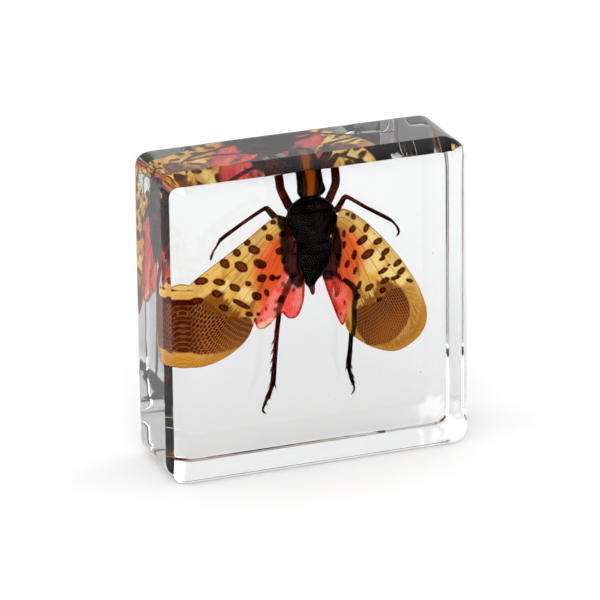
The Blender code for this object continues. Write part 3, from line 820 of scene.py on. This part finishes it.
def forewingMaterial():
    # tegmen of dry chitin: waxy straw membrane, satin, with brown cells between paler veins towards its
    # end, and fine lines of veins in its amber margin
    look = forewings
    material, tree, shader, where, field = newMembrane("dry forewing tegmen", look)
    flow = addNode(tree, "ShaderNodeCombineXYZ", [field["run"], field["over"]])
    drawn = addNode(tree, "ShaderNodeMapping", {"Vector": flow, "Scale": look["streaks"]})
    field["streak"] = addNode(tree, "ShaderNodeTexNoise", {"Vector": drawn, "Scale": 1.0, "Detail": 3.0})
    field["sparse"] = addNode(tree, "ShaderNodeTexNoise",
                              {"Vector": where, "Scale": look["sparse"], "Detail": 1.0})
    field["between"] = addNode(tree, "ShaderNodeMath", [1.0, field["dashes"]], operation="SUBTRACT")
    jag = addNode(tree, "ShaderNodeMath", [field["streak"], look["jag"], -look["jag"] / 2],
                  operation="MULTIPLY_ADD")
    field["jagged"] = addNode(tree, "ShaderNodeMath", [field["smear"], jag], operation="ADD")
    field["ridge"] = addNode(tree, "ShaderNodeMapRange", [field["veins"], *look["veinWidth"], 0.6, 0.0],
                             interpolation_type="SMOOTHSTEP")
    height = addNode(tree, "ShaderNodeMath", [field["net"], field["ridge"]], operation="ADD")
    litMembrane(tree, shader, painted(tree, look, field, "straw"), height, look["through"])
    return material


def hindwingMaterial():
    # hindwing of dry chitin: thin glassy membrane, red from pigment, pleated, with fine pale veins
    material, tree, shader, where, field = newMembrane("dry hindwing membrane", hindwings)
    litMembrane(tree, shader, painted(tree, hindwings, field, "red"), field["net"], hindwings["through"])
    return material


def forewingFields(wing, x, z, run, over, u, v):
    breadth = np.linalg.norm(np.stack([x[:, -1] - x[:, 0], z[:, -1] - z[:, 0]]), axis=0)[:, None]
    veins = np.full(x.shape, farAway)
    for start, end in wing["veins"]:
        veins = np.minimum(veins, abs(v - (start + (end - start) * u ** 0.8)) * breadth)
    # the painted glow of the hindwing under the wing
    under = np.clip(-areaField(x, z, curved(wing["under"])) / 2.6, 0, 1)  # strongest 2.6 mm inside
    across, up, radius = wing["rimMiddle"]
    return {
        "spots": spotField(x, z, wing["spots"]),
        "patch": areaField(x, z, curved(wing["patch"])),
        "smear": areaField(x, z, curved(wing["smear"])),
        "smudges": blobField(x, z, wing["smudges"]),
        "dashed": wing["dashed"] * np.clip((1.1 - z) / 0.5, 0, 1) * np.clip(x - 6.6, 0, 1),  # low, outside
        "bold": (0.95 - 0.2 * wing["dashed"]) * np.clip((x + 18.3) / 2.2, 0.35, 1),  # faint at the far left
        "pales": blobField(x, z, wing["pales"]),
        "lighter": blobField(x, z, wing["lighter"]) * 0.75,
        "veins": veins + np.clip(u - 0.62, 0, 1) * 4,  # they fade out towards the margin
        # the painted glow of the hindwing seen through, on the front face only
        "red": (np.maximum(under, blobField(x, z, wing["glow"])), 0.0),
        "fold": areaField(x, z, wing["fold"]),
        # the painted shade of a leg behind, on the front face only
        "behind": (lineField(x, z, wing["behind"]), farAway),
        "rim": run,
        "lead": v * breadth,
        "run": run / wing["cell"],
        "over": over / wing["cell"],
        "out": -areaField(x, z, curved(wing["outline"])) / wing["rimCell"],
        "around": np.arctan2(z - up, x - across) * radius / wing["rimCell"],
    }


def hindwingFields(wing, x, z, run, over, u, v):
    return {
        "spots": spotField(x, z, wing["spots"]),
        "smudges": blobField(x, z, wing["smudges"]),
        "pale": blobField(x, z, wing["pale"]),
        "deep": blobField(x, z, wing["deep"]),
        "fold": np.minimum(areaField(x, z, wing["fold"]), 9.8 - z),  # and all that is above 9.8 mm
        # the painted shade of a leg behind, on the front face only
        "behind": (lineField(x, z, wing["behind"]), farAway),
        "rim": -areaField(x, z, curved(wing["outline"])),
        "run": run / hindwings["veinSpacing"],
        "over": over / hindwings["veinSpacing"],
    }


def makeWings():
    kinds = {"forewing": (forewings, forewingMaterial(), forewingFields),
             "hindwing": (hindwings, hindwingMaterial(), hindwingFields)}
    noise = np.random.default_rng(membrane["seed"])
    for name, wing in wings.items():
        kind = name.split("_")[0]
        look, material, makeFields = kinds[kind]
        grid = wingGrid(wing)
        x, z, run, over = grid[:4]
        phase = noise.uniform(0, 6, 6)
        uneven = 0.0
        for wave, start in (("swell", 0), ("ripple", 2)):
            across, up = membrane[wave + "Waves"]
            waves = np.sin(x * across + phase[start]) * np.sin(z * up + phase[start + 1])
            uneven = uneven + membrane[wave] * waves
        if kind == "hindwing":
            pleats = membrane["pleat"] * np.sin(over * 2 * math.pi / membrane["pleatWidth"] + phase[4])
            uneven = uneven + pleats * np.clip(run / 6, 0.2, 1)
        depth = look["depth"] + uneven * np.clip(run / 3 + 0.2, 0, 1)
        mesh = sheetMesh(name, x, depth, z, look["thickness"], makeFields(wing, *grid))
        keepPiece(mesh, name, material, "dried_insect", "insect")


makeWings()


# the body: rings from head to tail, as (up, middle across, half width, front, back) in mm
body = {
    "black": "#0B0908",
    "brown": "#171010",
    "mark": "#5A2C1C",
    # painted highlight: the pale spots where light catches the sides of the body
    "paintedGlint": "#E0B080",
    "amber": "#7E3C0C",
    "amberEdge": "#33160A",
    "grain": (3.2, 3.2, 0.5),  # per mm, of the broken edges of the markings
    "segmentLength": 1.05,  # mm
    "relief": {"keel": 0.08, "collar": -0.16, "shieldEdge": -0.22, "furrow": -0.10, "segment": 0.16,
               "faceKeel": 0.14, "faceHollow": -0.10, "cheek": 0.18, "backHollow": -0.12},  # mm
    "smudges": [(-0.6, 14.75, 1.7, 0.9, 12), (0.9, 14.7, 1.7, 0.9, -10)],
    # painted highlights on the sides of the body, as ovals
    "glintSpots": [(-2.35, 9.75, 0.3, 0.8, 0), (2.75, 10.0, 0.35, 0.8, 0)],
    "layers": {
        "black": [
            ("brown", ("cloudy", 0.42, 0.7)),
            ("mark", ("brokenMark", 0.35, 0.7, 0.0, 0.8)),
            # the painted highlights
            ("paintedGlint", ("paintedGlint", 0.45, 0.75)),
            ("amberEdge", ("stripe", 0.85, 1.1, 1.0, 0.0)),
        ],
        "amberEdge": [("amber", ("brokenStripe", 0.30, 0.72, 1.0, 0.0))],
    },
    "thorax": [
        (15.75, 0.2, 0.5, 0.2, 1.2), (15.6, 0.2, 1.3, -0.5, 1.9), (15.1, 0.2, 2.2, -1.1, 2.6),
        (14.5, 0.25, 2.9, -1.7, 3.1), (13.6, 0.3, 3.5, -2.1, 3.5), (12.4, 0.35, 3.7, -2.4, 3.8),
        (11.2, 0.45, 3.4, -2.4, 3.9), (10.0, 0.6, 3.05, -2.2, 3.8), (9.2, 0.65, 2.4, -1.8, 3.4),
        (8.9, 0.65, 0.8, -0.8, 2.4),
    ],
    "abdomen": [
        (10.3, 0.55, 1.2, -0.8, 2.6), (9.8, 0.6, 2.5, -1.9, 3.5), (8.6, 0.64, 2.68, -1.9, 3.5),
        (7.2, 0.58, 2.55, -1.7, 3.3), (6.0, 0.51, 2.25, -1.5, 3.1), (4.9, 0.45, 1.75, -1.1, 2.7),
        (4.1, 0.33, 1.35, -0.8, 2.2), (3.5, 0.15, 1.0, -0.4, 1.6), (2.9, 0.14, 0.62, -0.1, 1.2),
        (2.2, 0.33, 0.40, 0.0, 1.0), (1.6, 0.38, 0.25, 0.1, 0.8), (1.4, 0.38, 0.1, 0.25, 0.6),
    ],
    "head": [
        (20.25, 0.1, 0.5, 0.2, 1.0), (20.0, 0.1, 1.2, -0.3, 1.6), (19.2, 0.08, 1.75, -0.8, 2.0),
        (18.4, 0.08, 1.82, -0.95, 2.15), (17.5, 0.2, 1.86, -1.05, 2.25), (16.6, 0.32, 1.95, -1.05, 2.3),
        (16.1, 0.30, 1.75, -0.95, 2.2), (15.6, 0.25, 1.3, -0.5, 1.8), (14.8, 0.25, 0.5, 0.0, 1.2),
    ],
}


def bell(away, width):  # 1 in the middle, and falling off
    return np.exp(-(away / width) ** 2)


def loftMesh(name, sides, relief, marks):  # a closed body through oval rings
    rows = smoothRows(body[name], 10)
    angle = np.linspace(0, 2 * math.pi, sides, endpoint=False)
    up, middle, halfWidth, front, back = (rows[:, i:i + 1] for i in range(5))
    across = middle + halfWidth * np.cos(angle)
    raised = relief(across, up, angle[None], halfWidth)
    x = across + raised * np.cos(angle)
    y = (front + back) / 2 + ((back - front) / 2 + raised) * np.sin(angle)
    z = np.broadcast_to(up, x.shape)
    points = np.stack([x, y, z], axis=-1).reshape(-1, 3)
    points = np.concatenate([points, [points[:sides].mean(0), points[-sides:].mean(0)]])
    index = np.arange(x.size).reshape(x.shape)
    after = np.roll(index, -1, axis=1)
    faces = np.stack([index[:-1], after[:-1], after[1:], index[1:]], axis=-1).reshape(-1, 4).tolist()
    faces += [(x.size, there, here) for here, there in zip(index[0].tolist(), after[0].tolist())]
    faces += [(x.size + 1, here, there) for here, there in zip(index[-1].tolist(), after[-1].tolist())]
    fields = {label: np.append(values.ravel(), [values[0].mean(), values[-1].mean()])
              for label, values in marks(x, z, np.sin(angle) < 0.2).items()}
    return closedMesh(name, points, faces, fields)


def thoraxRelief(across, up, angle, halfWidth):  # middle keel, collar groove, and the shield's hind edge
    relief, away, aside = body["relief"], abs(angle - 1.5 * math.pi), abs(across - 0.15)
    keel = relief["keel"] * bell(away, 0.10)
    collar = relief["collar"] * bell(up - 14.0 + 0.5 * np.cos(angle) ** 2, 0.16)
    shieldEdge = relief["shieldEdge"] * bell(up - 11.15 - 0.75 * aside, 0.12)
    shieldEdge = shieldEdge * (aside < 2.2) * (np.sin(angle) < 0)
    furrow = relief["furrow"] * bell(away - 0.55, 0.08) * (up < 12.0)
    return (keel + collar + shieldEdge + furrow) * np.clip(halfWidth / 3, 0, 1)


def thoraxMarks(x, z, facing):
    smudges = blobField(x, z, body["smudges"]) * 0.5
    shieldEdge = bell(z - 11.0 - 0.75 * abs(x - 0.15), 0.14) * (abs(x - 0.15) < 2.2) * 0.45
    return {"mark": np.maximum(smudges, shieldEdge) * facing,
            # painted highlights, on the front only
            "paintedGlint": blobField(x, z, body["glintSpots"]) * facing,
            "stripe": x * 0 + 3}


def abdomenRelief(across, up, angle, halfWidth):  # a step at the hind edge of each segment
    segment = (10.2 - up) / body["segmentLength"]
    return body["relief"]["segment"] * (segment % 1) ** 3 * np.clip(halfWidth / 2, 0.25, 1) + 0 * angle


def abdomenMarks(x, z, facing):  # a brown tail
    return {"mark": np.clip((3.2 - z) / 0.8, 0, 1), "paintedGlint": x * 0, "stripe": x * 0 + 3}


def headRelief(across, up, angle, halfWidth):  # two keels down the face, and bulging sides
    relief, away = body["relief"], abs(angle - 1.5 * math.pi)
    face = relief["faceKeel"] * bell(away - 0.42, 0.09) + relief["faceHollow"] * bell(away, 0.22)
    cheeks = relief["cheek"] * bell(away - 1.25, 0.35) * bell(up - 16.6, 1.1)
    hollow = relief["backHollow"] * bell(angle - 0.5 * math.pi, 0.2)
    return (face + cheeks + hollow) * np.clip(halfWidth / 1.6, 0, 1)


def headMarks(x, z, facing):  # the amber stripe: 0 along its middle, 1 at its edges
    middle = np.interp(z, [16.0, 19.5], [-0.1, 0.05])
    half = np.interp(z, [16.0, 17.0, 19.5], [0.85, 0.95, 1.2])
    stripe = abs(x - middle) / half + np.clip((16.3 - z) / 0.35, 0, 3) + np.where(facing, 0, 3)
    return {"mark": x * 0, "paintedGlint": x * 0, "stripe": stripe}


cuticle = {
    "roughness": 0.4,
    "ior": 1.04,  # chitin set in resin
    "bumpShare": 0.3,
    "bumpDepth": 0.00003,
    "clouds": 0.7,  # per mm
    "pits": 9.0,
}


def cuticleMaterial(name, look, colour, moreFields=None):
    # sclerotised insect cuticle: near black, finely pitted and satin; set in resin it loses its shine
    material, tree, shader = newMaterial(name)
    where = millimetres(tree)
    cloudy = addNode(tree, "ShaderNodeTexNoise", {"Vector": where, "Scale": cuticle["clouds"], "Detail": 3.0})
    pits = addNode(tree, "ShaderNodeTexNoise", {"Vector": where, "Scale": cuticle["pits"], "Detail": 2.0})
    field = {"cloudy": cloudy}
    if moreFields:
        field.update(moreFields(tree, where))
    tree.links.new(painted(tree, look, field, colour), shader.inputs["Base Color"])
    shader.inputs["IOR"].default_value = cuticle["ior"]
    shader.inputs["Roughness"].default_value = cuticle["roughness"]
    bump = addNode(tree, "ShaderNodeBump",
                   {"Strength": cuticle["bumpShare"], "Distance": cuticle["bumpDepth"], "Height": pits})
    tree.links.new(bump.outputs[0], shader.inputs["Normal"])
    return material


def bodyFields(tree, where):  # markings with broken edges: smudges, painted highlights on the sides of the body, and the amber stripe
    field = {label: addNode(tree, "ShaderNodeAttribute", attribute_name=label).outputs["Fac"]
             for label in ("mark", "paintedGlint", "stripe")}
    drawn = addNode(tree, "ShaderNodeMapping", {"Vector": where, "Scale": body["grain"]})
    grain = addNode(tree, "ShaderNodeTexNoise", {"Vector": drawn, "Scale": 1.0, "Detail": 2.0})
    broken = addNode(tree, "ShaderNodeMath", [grain, 0.5, -0.25], operation="MULTIPLY_ADD")
    field["brokenMark"] = addNode(tree, "ShaderNodeMath", [field["mark"], broken], operation="ADD")
    field["brokenStripe"] = addNode(tree, "ShaderNodeMath", [field["stripe"], broken], operation="ADD")
    return field


def makeBody():
    material = cuticleMaterial("marked body cuticle", body, "black", bodyFields)
    pieces = {"thorax": (96, thoraxRelief, thoraxMarks), "abdomen": (80, abdomenRelief, abdomenMarks),
              "head": (96, headRelief, headMarks)}
    for name, shape in pieces.items():
        keepPiece(loftMesh(name, *shape), name, material, "dried_insect", "insect")


makeBody()


# the legs: a tube through each joint, with spikes, fine bristles and claws
legs = {
    "rows": 300,  # along a leg
    "bend": 3,  # rows to either side that soften a joint
    "sides": 12,
    "step": 0.10,  # mm
    "roughness": 0.05,  # mm, of the cuticle's small swellings
    "swellings": 900.0,  # per metre
    "brown": "#2E100A",
    "red": "#562218",
    "black": "#0E0A09",
    "blackBrown": "#1E100C",
    "blackLegs": ["hind_leg_right"],
    "layers": {
        "brown": [("red", ("cloudy", 0.42, 0.7))],
        "black": [("blackBrown", ("cloudy", 0.42, 0.7))],
    },
    "paths": {  # across, depth, up, radius
        "front_leg_left": [
            (-1.2, 2.4, 12.6, 0.7), (-2.6, 2.3, 14.5, 0.64), (-3.6, 2.1, 16.6, 0.62),
            (-4.4, 1.7, 18.8, 0.58), (-4.8, 1.3, 20.3, 0.42), (-6.8, 1.7, 20.7, 0.28),
            (-12.5, 3.0, 20.2, 0.26), (-15.9, 2.8, 19.1, 0.16),
        ],
        "front_leg_right": [
            (1.8, 2.4, 12.6, 0.7), (3.4, 2.3, 14.5, 0.64), (4.3, 2.1, 16.6, 0.62), (4.4, 1.7, 18.8, 0.58),
            (4.0, 1.3, 20.3, 0.42), (6.0, 1.7, 20.8, 0.28), (10.6, 3.0, 20.7, 0.26),
            (14.8, 2.9, 20.3, 0.16),
        ],
        "middle_leg_left": [
            (-1.4, 3.2, 11.4, 0.6), (-4.3, 3.5, 12.7, 0.50), (-5.5, 3.6, 14.2, 0.40),
            (-6.1, 3.6, 14.05, 0.29), (-9.0, 3.6, 12.5, 0.27), (-11.8, 3.6, 10.85, 0.30),
            (-12.4, 3.6, 10.4, 0.25), (-12.75, 3.6, 9.8, 0.16), (-13.3, 3.6, 9.05, 0.15),
            (-13.6, 3.6, 8.4, 0.20), (-13.75, 3.6, 7.95, 0.17), (-13.7, 3.6, 7.75, 0.12),
        ],
        "middle_leg_right": [
            (2.0, 3.2, 11.4, 0.6), (4.9, 3.5, 12.7, 0.48), (6.0, 3.6, 14.3, 0.40), (6.6, 3.6, 14.1, 0.29),
            (9.0, 3.6, 12.4, 0.26), (12.0, 3.6, 10.5, 0.29), (12.8, 3.6, 9.95, 0.25),
            (13.15, 3.6, 9.6, 0.16), (13.7, 3.6, 8.9, 0.17), (14.0, 3.6, 8.2, 0.19),
            (13.9, 3.6, 7.75, 0.17), (13.65, 3.6, 7.55, 0.12),
        ],
        "hind_leg_left": [
            (-1.0, 2.9, 7.6, 0.6), (-2.2, 2.8, 3.6, 0.52), (-3.9, 2.6, 0.6, 0.45), (-4.37, 2.6, -3.0, 0.35),
            (-4.69, 2.6, -6.0, 0.36), (-4.94, 2.6, -9.0, 0.36), (-5.12, 2.6, -11.0, 0.42),
            (-5.3, 2.6, -11.8, 0.30), (-5.6, 2.6, -12.5, 0.32), (-5.95, 2.6, -13.3, 0.40),
            (-6.15, 2.6, -13.65, 0.22), (-6.35, 2.6, -14.1, 0.29), (-6.5, 2.6, -14.45, 0.18),
            (-6.75, 2.6, -15.0, 0.18), (-6.65, 2.6, -15.4, 0.16), (-6.2, 2.6, -15.75, 0.05),
        ],
        "hind_leg_right": [
            (1.6, 2.9, 7.6, 0.6), (4.7, 2.8, 3.6, 0.52), (6.8, 2.6, 0.8, 0.45), (6.73, 2.6, -3.0, 0.37),
            (6.52, 2.6, -6.0, 0.35), (6.33, 2.6, -8.0, 0.35), (6.1, 2.6, -10.0, 0.42),
            (6.15, 2.6, -10.9, 0.30), (6.3, 2.6, -11.5, 0.27), (6.5, 2.6, -12.3, 0.34),
            (6.56, 2.6, -12.6, 0.22), (6.68, 2.6, -13.0, 0.28), (6.78, 2.6, -13.3, 0.15),
            (6.95, 2.6, -13.8, 0.15), (6.88, 2.6, -14.2, 0.14), (6.68, 2.6, -14.5, 0.13),
            (6.45, 2.6, -14.85, 0.05),
        ],
    },
    "spikeDepth": {"hind": 2.55, "middle": 3.55},
    "spikes": {  # from (across, up) to (across, up), with the girth at the foot
        "hind_leg_left": [
            (-4.6, -3.3, -4.98, -4.05, 0.14), (-4.85, -4.9, -5.37, -5.8, 0.20),
            (-5.0, -6.3, -5.53, -7.15, 0.19), (-5.1, -7.6, -5.62, -8.5, 0.20),
            (-5.2, -8.9, -5.65, -9.8, 0.20), (-5.25, -10.8, -5.96, -12.05, 0.22),
            (-4.95, -11.3, -4.66, -12.5, 0.19), (-5.15, -11.4, -5.5, -12.2, 0.2),
            (-5.85, -12.7, -6.48, -13.5, 0.18), (-5.7, -12.9, -5.62, -13.9, 0.2),
            (-6.35, -13.8, -6.72, -14.2, 0.14), (-6.2, -13.9, -6.03, -14.6, 0.13),
        ],
        "hind_leg_right": [
            (6.5, -7.6, 6.72, -8.5, 0.14), (5.95, -9.9, 5.58, -11.15, 0.22), (6.3, -10.0, 6.68, -11.1, 0.2),
            (6.1, -10.2, 6.12, -11.2, 0.22), (6.6, -11.7, 7.0, -12.5, 0.16),
            (6.45, -11.9, 6.42, -12.7, 0.16), (6.75, -12.6, 7.1, -13.25, 0.14),
            (6.6, -12.7, 6.5, -13.35, 0.15),
        ],
        "middle_leg_left": [
            (-12.2, 10.7, -12.6, 10.75, 0.2), (-13.68, 7.95, -14.15, 7.85, 0.07),
            (-13.7, 7.9, -13.85, 7.5, 0.07),
        ],
        "middle_leg_right": [
            (12.7, 10.1, 13.0, 9.85, 0.2), (13.75, 7.65, 13.35, 7.4, 0.07), (13.7, 7.6, 13.75, 7.3, 0.07),
        ],
    },
}


def tubeTree():
    tree, given = newTree("tube along lines", {"sides": "Int", "step": "Float", "roughness": "Float",
                                               "swellings": "Float", "seed": "Float",
                                               "material": "Material"})
    curve = addNode(tree, "GeometryNodeMeshToCurve", [given["geometry"]])
    even = addNode(tree, "GeometryNodeResampleCurve", {"Curve": curve, "Length": given["step"]},
                   mode="LENGTH")
    girth = addNode(tree, "GeometryNodeInputNamedAttribute", {"Name": "girth"}, data_type="FLOAT")
    ring = addNode(tree, "GeometryNodeCurvePrimitiveCircle", {"Radius": 1.0, "Resolution": given["sides"]})
    tube = addNode(tree, "GeometryNodeCurveToMesh",
                   {"Curve": even, "Profile Curve": ring, "Scale": girth, "Fill Caps": True})
    weld = addNode(tree, "GeometryNodeMergeByDistance", {"Geometry": tube, "Distance": 1e-7})
    bumps = addNode(tree, "ShaderNodeTexNoise",
                    {"Scale": given["swellings"], "Detail": 1.0, "W": given["seed"]}, noise_dimensions="4D")
    centred = addNode(tree, "ShaderNodeMath", [bumps, 0.5], operation="SUBTRACT")
    push = addNode(tree, "ShaderNodeMath", [centred, given["roughness"]], operation="MULTIPLY")
    normal = addNode(tree, "GeometryNodeInputNormal")
    offset = addNode(tree, "ShaderNodeVectorMath", [normal, push], operation="SCALE")
    rough = addNode(tree, "GeometryNodeSetPosition", {"Geometry": weld, "Offset": offset})
    endTree(tree, rough, given["material"])
    return tree


bristles = {
    "sizes": {  # mm
        "spacing": 0.4,
        "length": 0.22,
        "girth": 0.022,
        "tip": 0.004,
    },
    "shape": {
        "smallest": 0.6,  # of that size
        "largest": 1.2,
        "side": (0.0, -0.2, -0.6),  # the way that they lean
        "spread": 0.7,
    },
    "bare": 30,  # rows at each end of a leg that have none
    "away": 0.9,  # radii of the leg from its middle to either row of them
}


def bristleTree():
    kinds = {name: "Float" for name in (*bristles["sizes"], *bristles["shape"])}
    kinds.update({"side": "Vector", "seed": "Int", "material": "Material"})
    tree, given = newTree("bristles along lines", kinds)
    curve = addNode(tree, "GeometryNodeMeshToCurve", [given["geometry"]])
    points = addNode(tree, "GeometryNodeCurveToPoints", {"Curve": curve, "Length": given["spacing"]},
                     mode="LENGTH")
    cone = addNode(tree, "GeometryNodeMeshCone", {"Vertices": 5, "Radius Top": given["tip"],
                                                  "Radius Bottom": given["girth"], "Depth": given["length"]})
    wild = addNode(tree, "FunctionNodeRandomValue", {0: (-1, -1, -1), 1: (1, 1, 1), "Seed": given["seed"]},
                   data_type="FLOAT_VECTOR")
    loose = addNode(tree, "ShaderNodeVectorMath", [wild, given["spread"]], operation="SCALE")
    aim = addNode(tree, "ShaderNodeVectorMath", [given["side"], loose], operation="ADD")
    turned = addNode(tree, "FunctionNodeAlignRotationToVector", {"Vector": aim}, axis="Z")
    size = addNode(tree, "FunctionNodeRandomValue",
                   {2: given["smallest"], 3: given["largest"], "Seed": given["seed"]}, data_type="FLOAT")
    placed = addNode(tree, "GeometryNodeInstanceOnPoints",
                     {"Points": points, "Instance": cone, "Rotation": turned, "Scale": size})
    endTree(tree, placed, given["material"])
    return tree


def legRows(path):  # straight between the joints, with a slight bend at each instead of a kink
    rows = evenRows(np.array(path, float), legs["rows"], 3)
    reach = legs["bend"]
    for i in range(4):
        padded = np.pad(rows[:, i], reach, mode="edge")
        rows[:, i] = np.convolve(padded, np.ones(2 * reach + 1) / (2 * reach + 1), mode="valid")
    return rows


def spikeLines(name):  # each spike tapers to a point, a little nearer to the front than the leg's middle
    depth = legs["spikeDepth"].get(name.split("_")[0])
    lines = []
    for x0, z0, x1, z1, girth in legs["spikes"].get(name, []):
        line = []
        for t in np.linspace(0, 1, 6):
            radius = girth * 0.75 * (1 - 0.9 * t ** 1.3)
            line.append((x0 + (x1 - x0) * t, depth, z0 + (z1 - z0) * t, radius))
        lines.append(line)
    return lines


def makeLegs():
    brown = cuticleMaterial("red brown leg cuticle", legs, "brown")
    black = cuticleMaterial("black leg cuticle", legs, "black")
    tubes, tufts = tubeTree(), bristleTree()
    for number, (name, path) in enumerate(legs["paths"].items()):
        material = black if name in legs["blackLegs"] else brown
        rows = legRows(path)
        values = {"sides": legs["sides"], "step": legs["step"] * mm, "roughness": legs["roughness"] * mm,
                  "swellings": legs["swellings"], "seed": number * 3.1, "material": material}
        mesh = runTree(tubes, lineMesh(name, [rows] + spikeLines(name)), values)
        pointOutwards(mesh)
        keepPiece(mesh, name, material, "dried_insect", "insect")
        lines = []
        for out in (-1, 1):  # a row of bristles along either side
            line = rows[bristles["bare"]:-bristles["bare"]].copy()
            line[:, 0] += out * line[:, 3] * bristles["away"]
            lines.append(line)
        values = {label: size * mm for label, size in bristles["sizes"].items()}
        values.update(bristles["shape"], seed=number, material=material)
        mesh = runTree(tufts, lineMesh(name, lines), values)
        keepPiece(mesh, name + "_bristles", material, "dried_insect", "insect")


makeLegs()


# dust caught in the casting
specks = {
    "places": [(15.2, 11.5), (18.8, 10.2), (17.5, 5.7), (-3.5, -2.9), (9.5, -10.8), (15.6, -11.6),
               (1.9, -13.1)],
    "depth": -2.5,
    "size": 0.075,  # mm, radius
    "smallest": (0.5, 0.5, 0.5),  # of that size
    "largest": (1.4, 1.4, 1.4),
    "seed": 4,
    "grey": "#8A857C",
    "pale": "#A8A298",
    "layers": {"grey": [("pale", ("cloudy", 0.42, 0.7))]},
}


def speckTree():
    tree, given = newTree("specks on points", {"size": "Float", "smallest": "Vector", "largest": "Vector",
                                               "seed": "Int", "material": "Material"})
    ball = addNode(tree, "GeometryNodeMeshIcoSphere", {"Radius": given["size"], "Subdivisions": 2})
    points = addNode(tree, "GeometryNodeMeshToPoints", [given["geometry"]])
    size = addNode(tree, "FunctionNodeRandomValue",
                   {0: given["smallest"], 1: given["largest"], "Seed": given["seed"]},
                   data_type="FLOAT_VECTOR")
    placed = addNode(tree, "GeometryNodeInstanceOnPoints",
                     {"Points": points, "Instance": ball, "Scale": size})
    endTree(tree, placed, given["material"])
    return tree


def makeSpecks():
    material = cuticleMaterial("grey dust speck", specks, "grey")
    mesh = bpy.data.meshes.new("speck places")
    mesh.from_pydata([place(x, specks["depth"], z) for x, z in specks["places"]], [], [])
    values = {name: specks[name] for name in ("smallest", "largest", "seed")}
    values.update({"size": specks["size"] * mm, "material": material})
    keepPiece(runTree(speckTree(), mesh, values), "dust_specks", material, "dried_insect")


makeSpecks()


# the studio: a pale floor, a white surround that is darker overhead, and soft lights; a span is where one
# strength gives way to the next, as a part of the view direction
studio = {
    "floorSize": 6.0,  # m
    "floor": "#D4D4D4",
    "floorRoughness": 0.9,
    "floorGap": 0.0001,  # m, below the block
    "surround": 0.95,  # at and below the horizon
    "walls": 0.98,  # above it
    "wallsSpan": (0.06, 0.3),
    "sides": 2.9,
    "sidesSpan": (0.5, 0.85),
    "front": 7.0,  # from the left of the camera
    "frontSpan": (-0.8, -0.55),
    "leftSpan": (-0.1, 0.15),
    "overhead": 0.9,
    "overheadSpan": (0.62, 0.86),
    "black": 0.046,  # of the picture, for deep blacks, as a product photo is finished
}


def makeFloor():
    material, tree, shader = newMaterial("matt white floor paper")
    shader.inputs["Base Color"].default_value = hexColour(studio["floor"])
    shader.inputs["Roughness"].default_value = studio["floorRoughness"]
    half = studio["floorSize"] / 2
    corners = [(-half, -half, 0), (half, -half, 0), (half, half, 0), (-half, half, 0)]
    mesh = bpy.data.meshes.new("floor")
    mesh.from_pydata(corners, [], [(0, 1, 2, 3)])
    mesh.materials.append(material)
    floor = bpy.data.objects.new("floor", mesh)
    floor.location.z = cadLow.z - studio["floorGap"]
    bpy.context.scene.collection.objects.link(floor)


def makeSurround():
    world = bpy.data.worlds.new("studio surround")
    world.use_nodes = True
    bpy.context.scene.world = world
    tree = world.node_tree
    ray = addNode(tree, "ShaderNodeTexCoord").outputs["Generated"]
    across, away, up = addNode(tree, "ShaderNodeSeparateXYZ", [ray]).outputs
    sideways = addNode(tree, "ShaderNodeMath", [across], operation="ABSOLUTE")
    eased = {"interpolation_type": "SMOOTHSTEP"}
    front = addNode(tree, "ShaderNodeMapRange", [away, *studio["frontSpan"], 1.0, 0.0], **eased)
    left = addNode(tree, "ShaderNodeMapRange", [across, *studio["leftSpan"], 1.0, 0.0], **eased)
    both = addNode(tree, "ShaderNodeMath", [front, left], operation="MULTIPLY")
    walls = addNode(tree, "ShaderNodeMapRange",
                    [up, *studio["wallsSpan"], studio["surround"], studio["walls"]], **eased)
    sides = addNode(tree, "ShaderNodeMapRange",
                    [sideways, *studio["sidesSpan"], walls, studio["sides"]], **eased)
    lit = addNode(tree, "ShaderNodeMix", [both, sides, studio["front"]])
    shade = addNode(tree, "ShaderNodeMapRange",
                    [up, *studio["overheadSpan"], lit, studio["overhead"]], **eased)
    tree.links.new(shade.outputs[0], tree.nodes["Background"].inputs["Strength"])
    tree.nodes["Background"].inputs["Color"].default_value = hexColour("#FFFFFF")
    view = bpy.context.scene.view_settings
    view.view_transform = "Standard"
    view.use_curve_mapping = True
    view.curve_mapping.black_level = [studio["black"]] * 3
    view.curve_mapping.update()


makeFloor()
makeSurround()
print("studio lit")
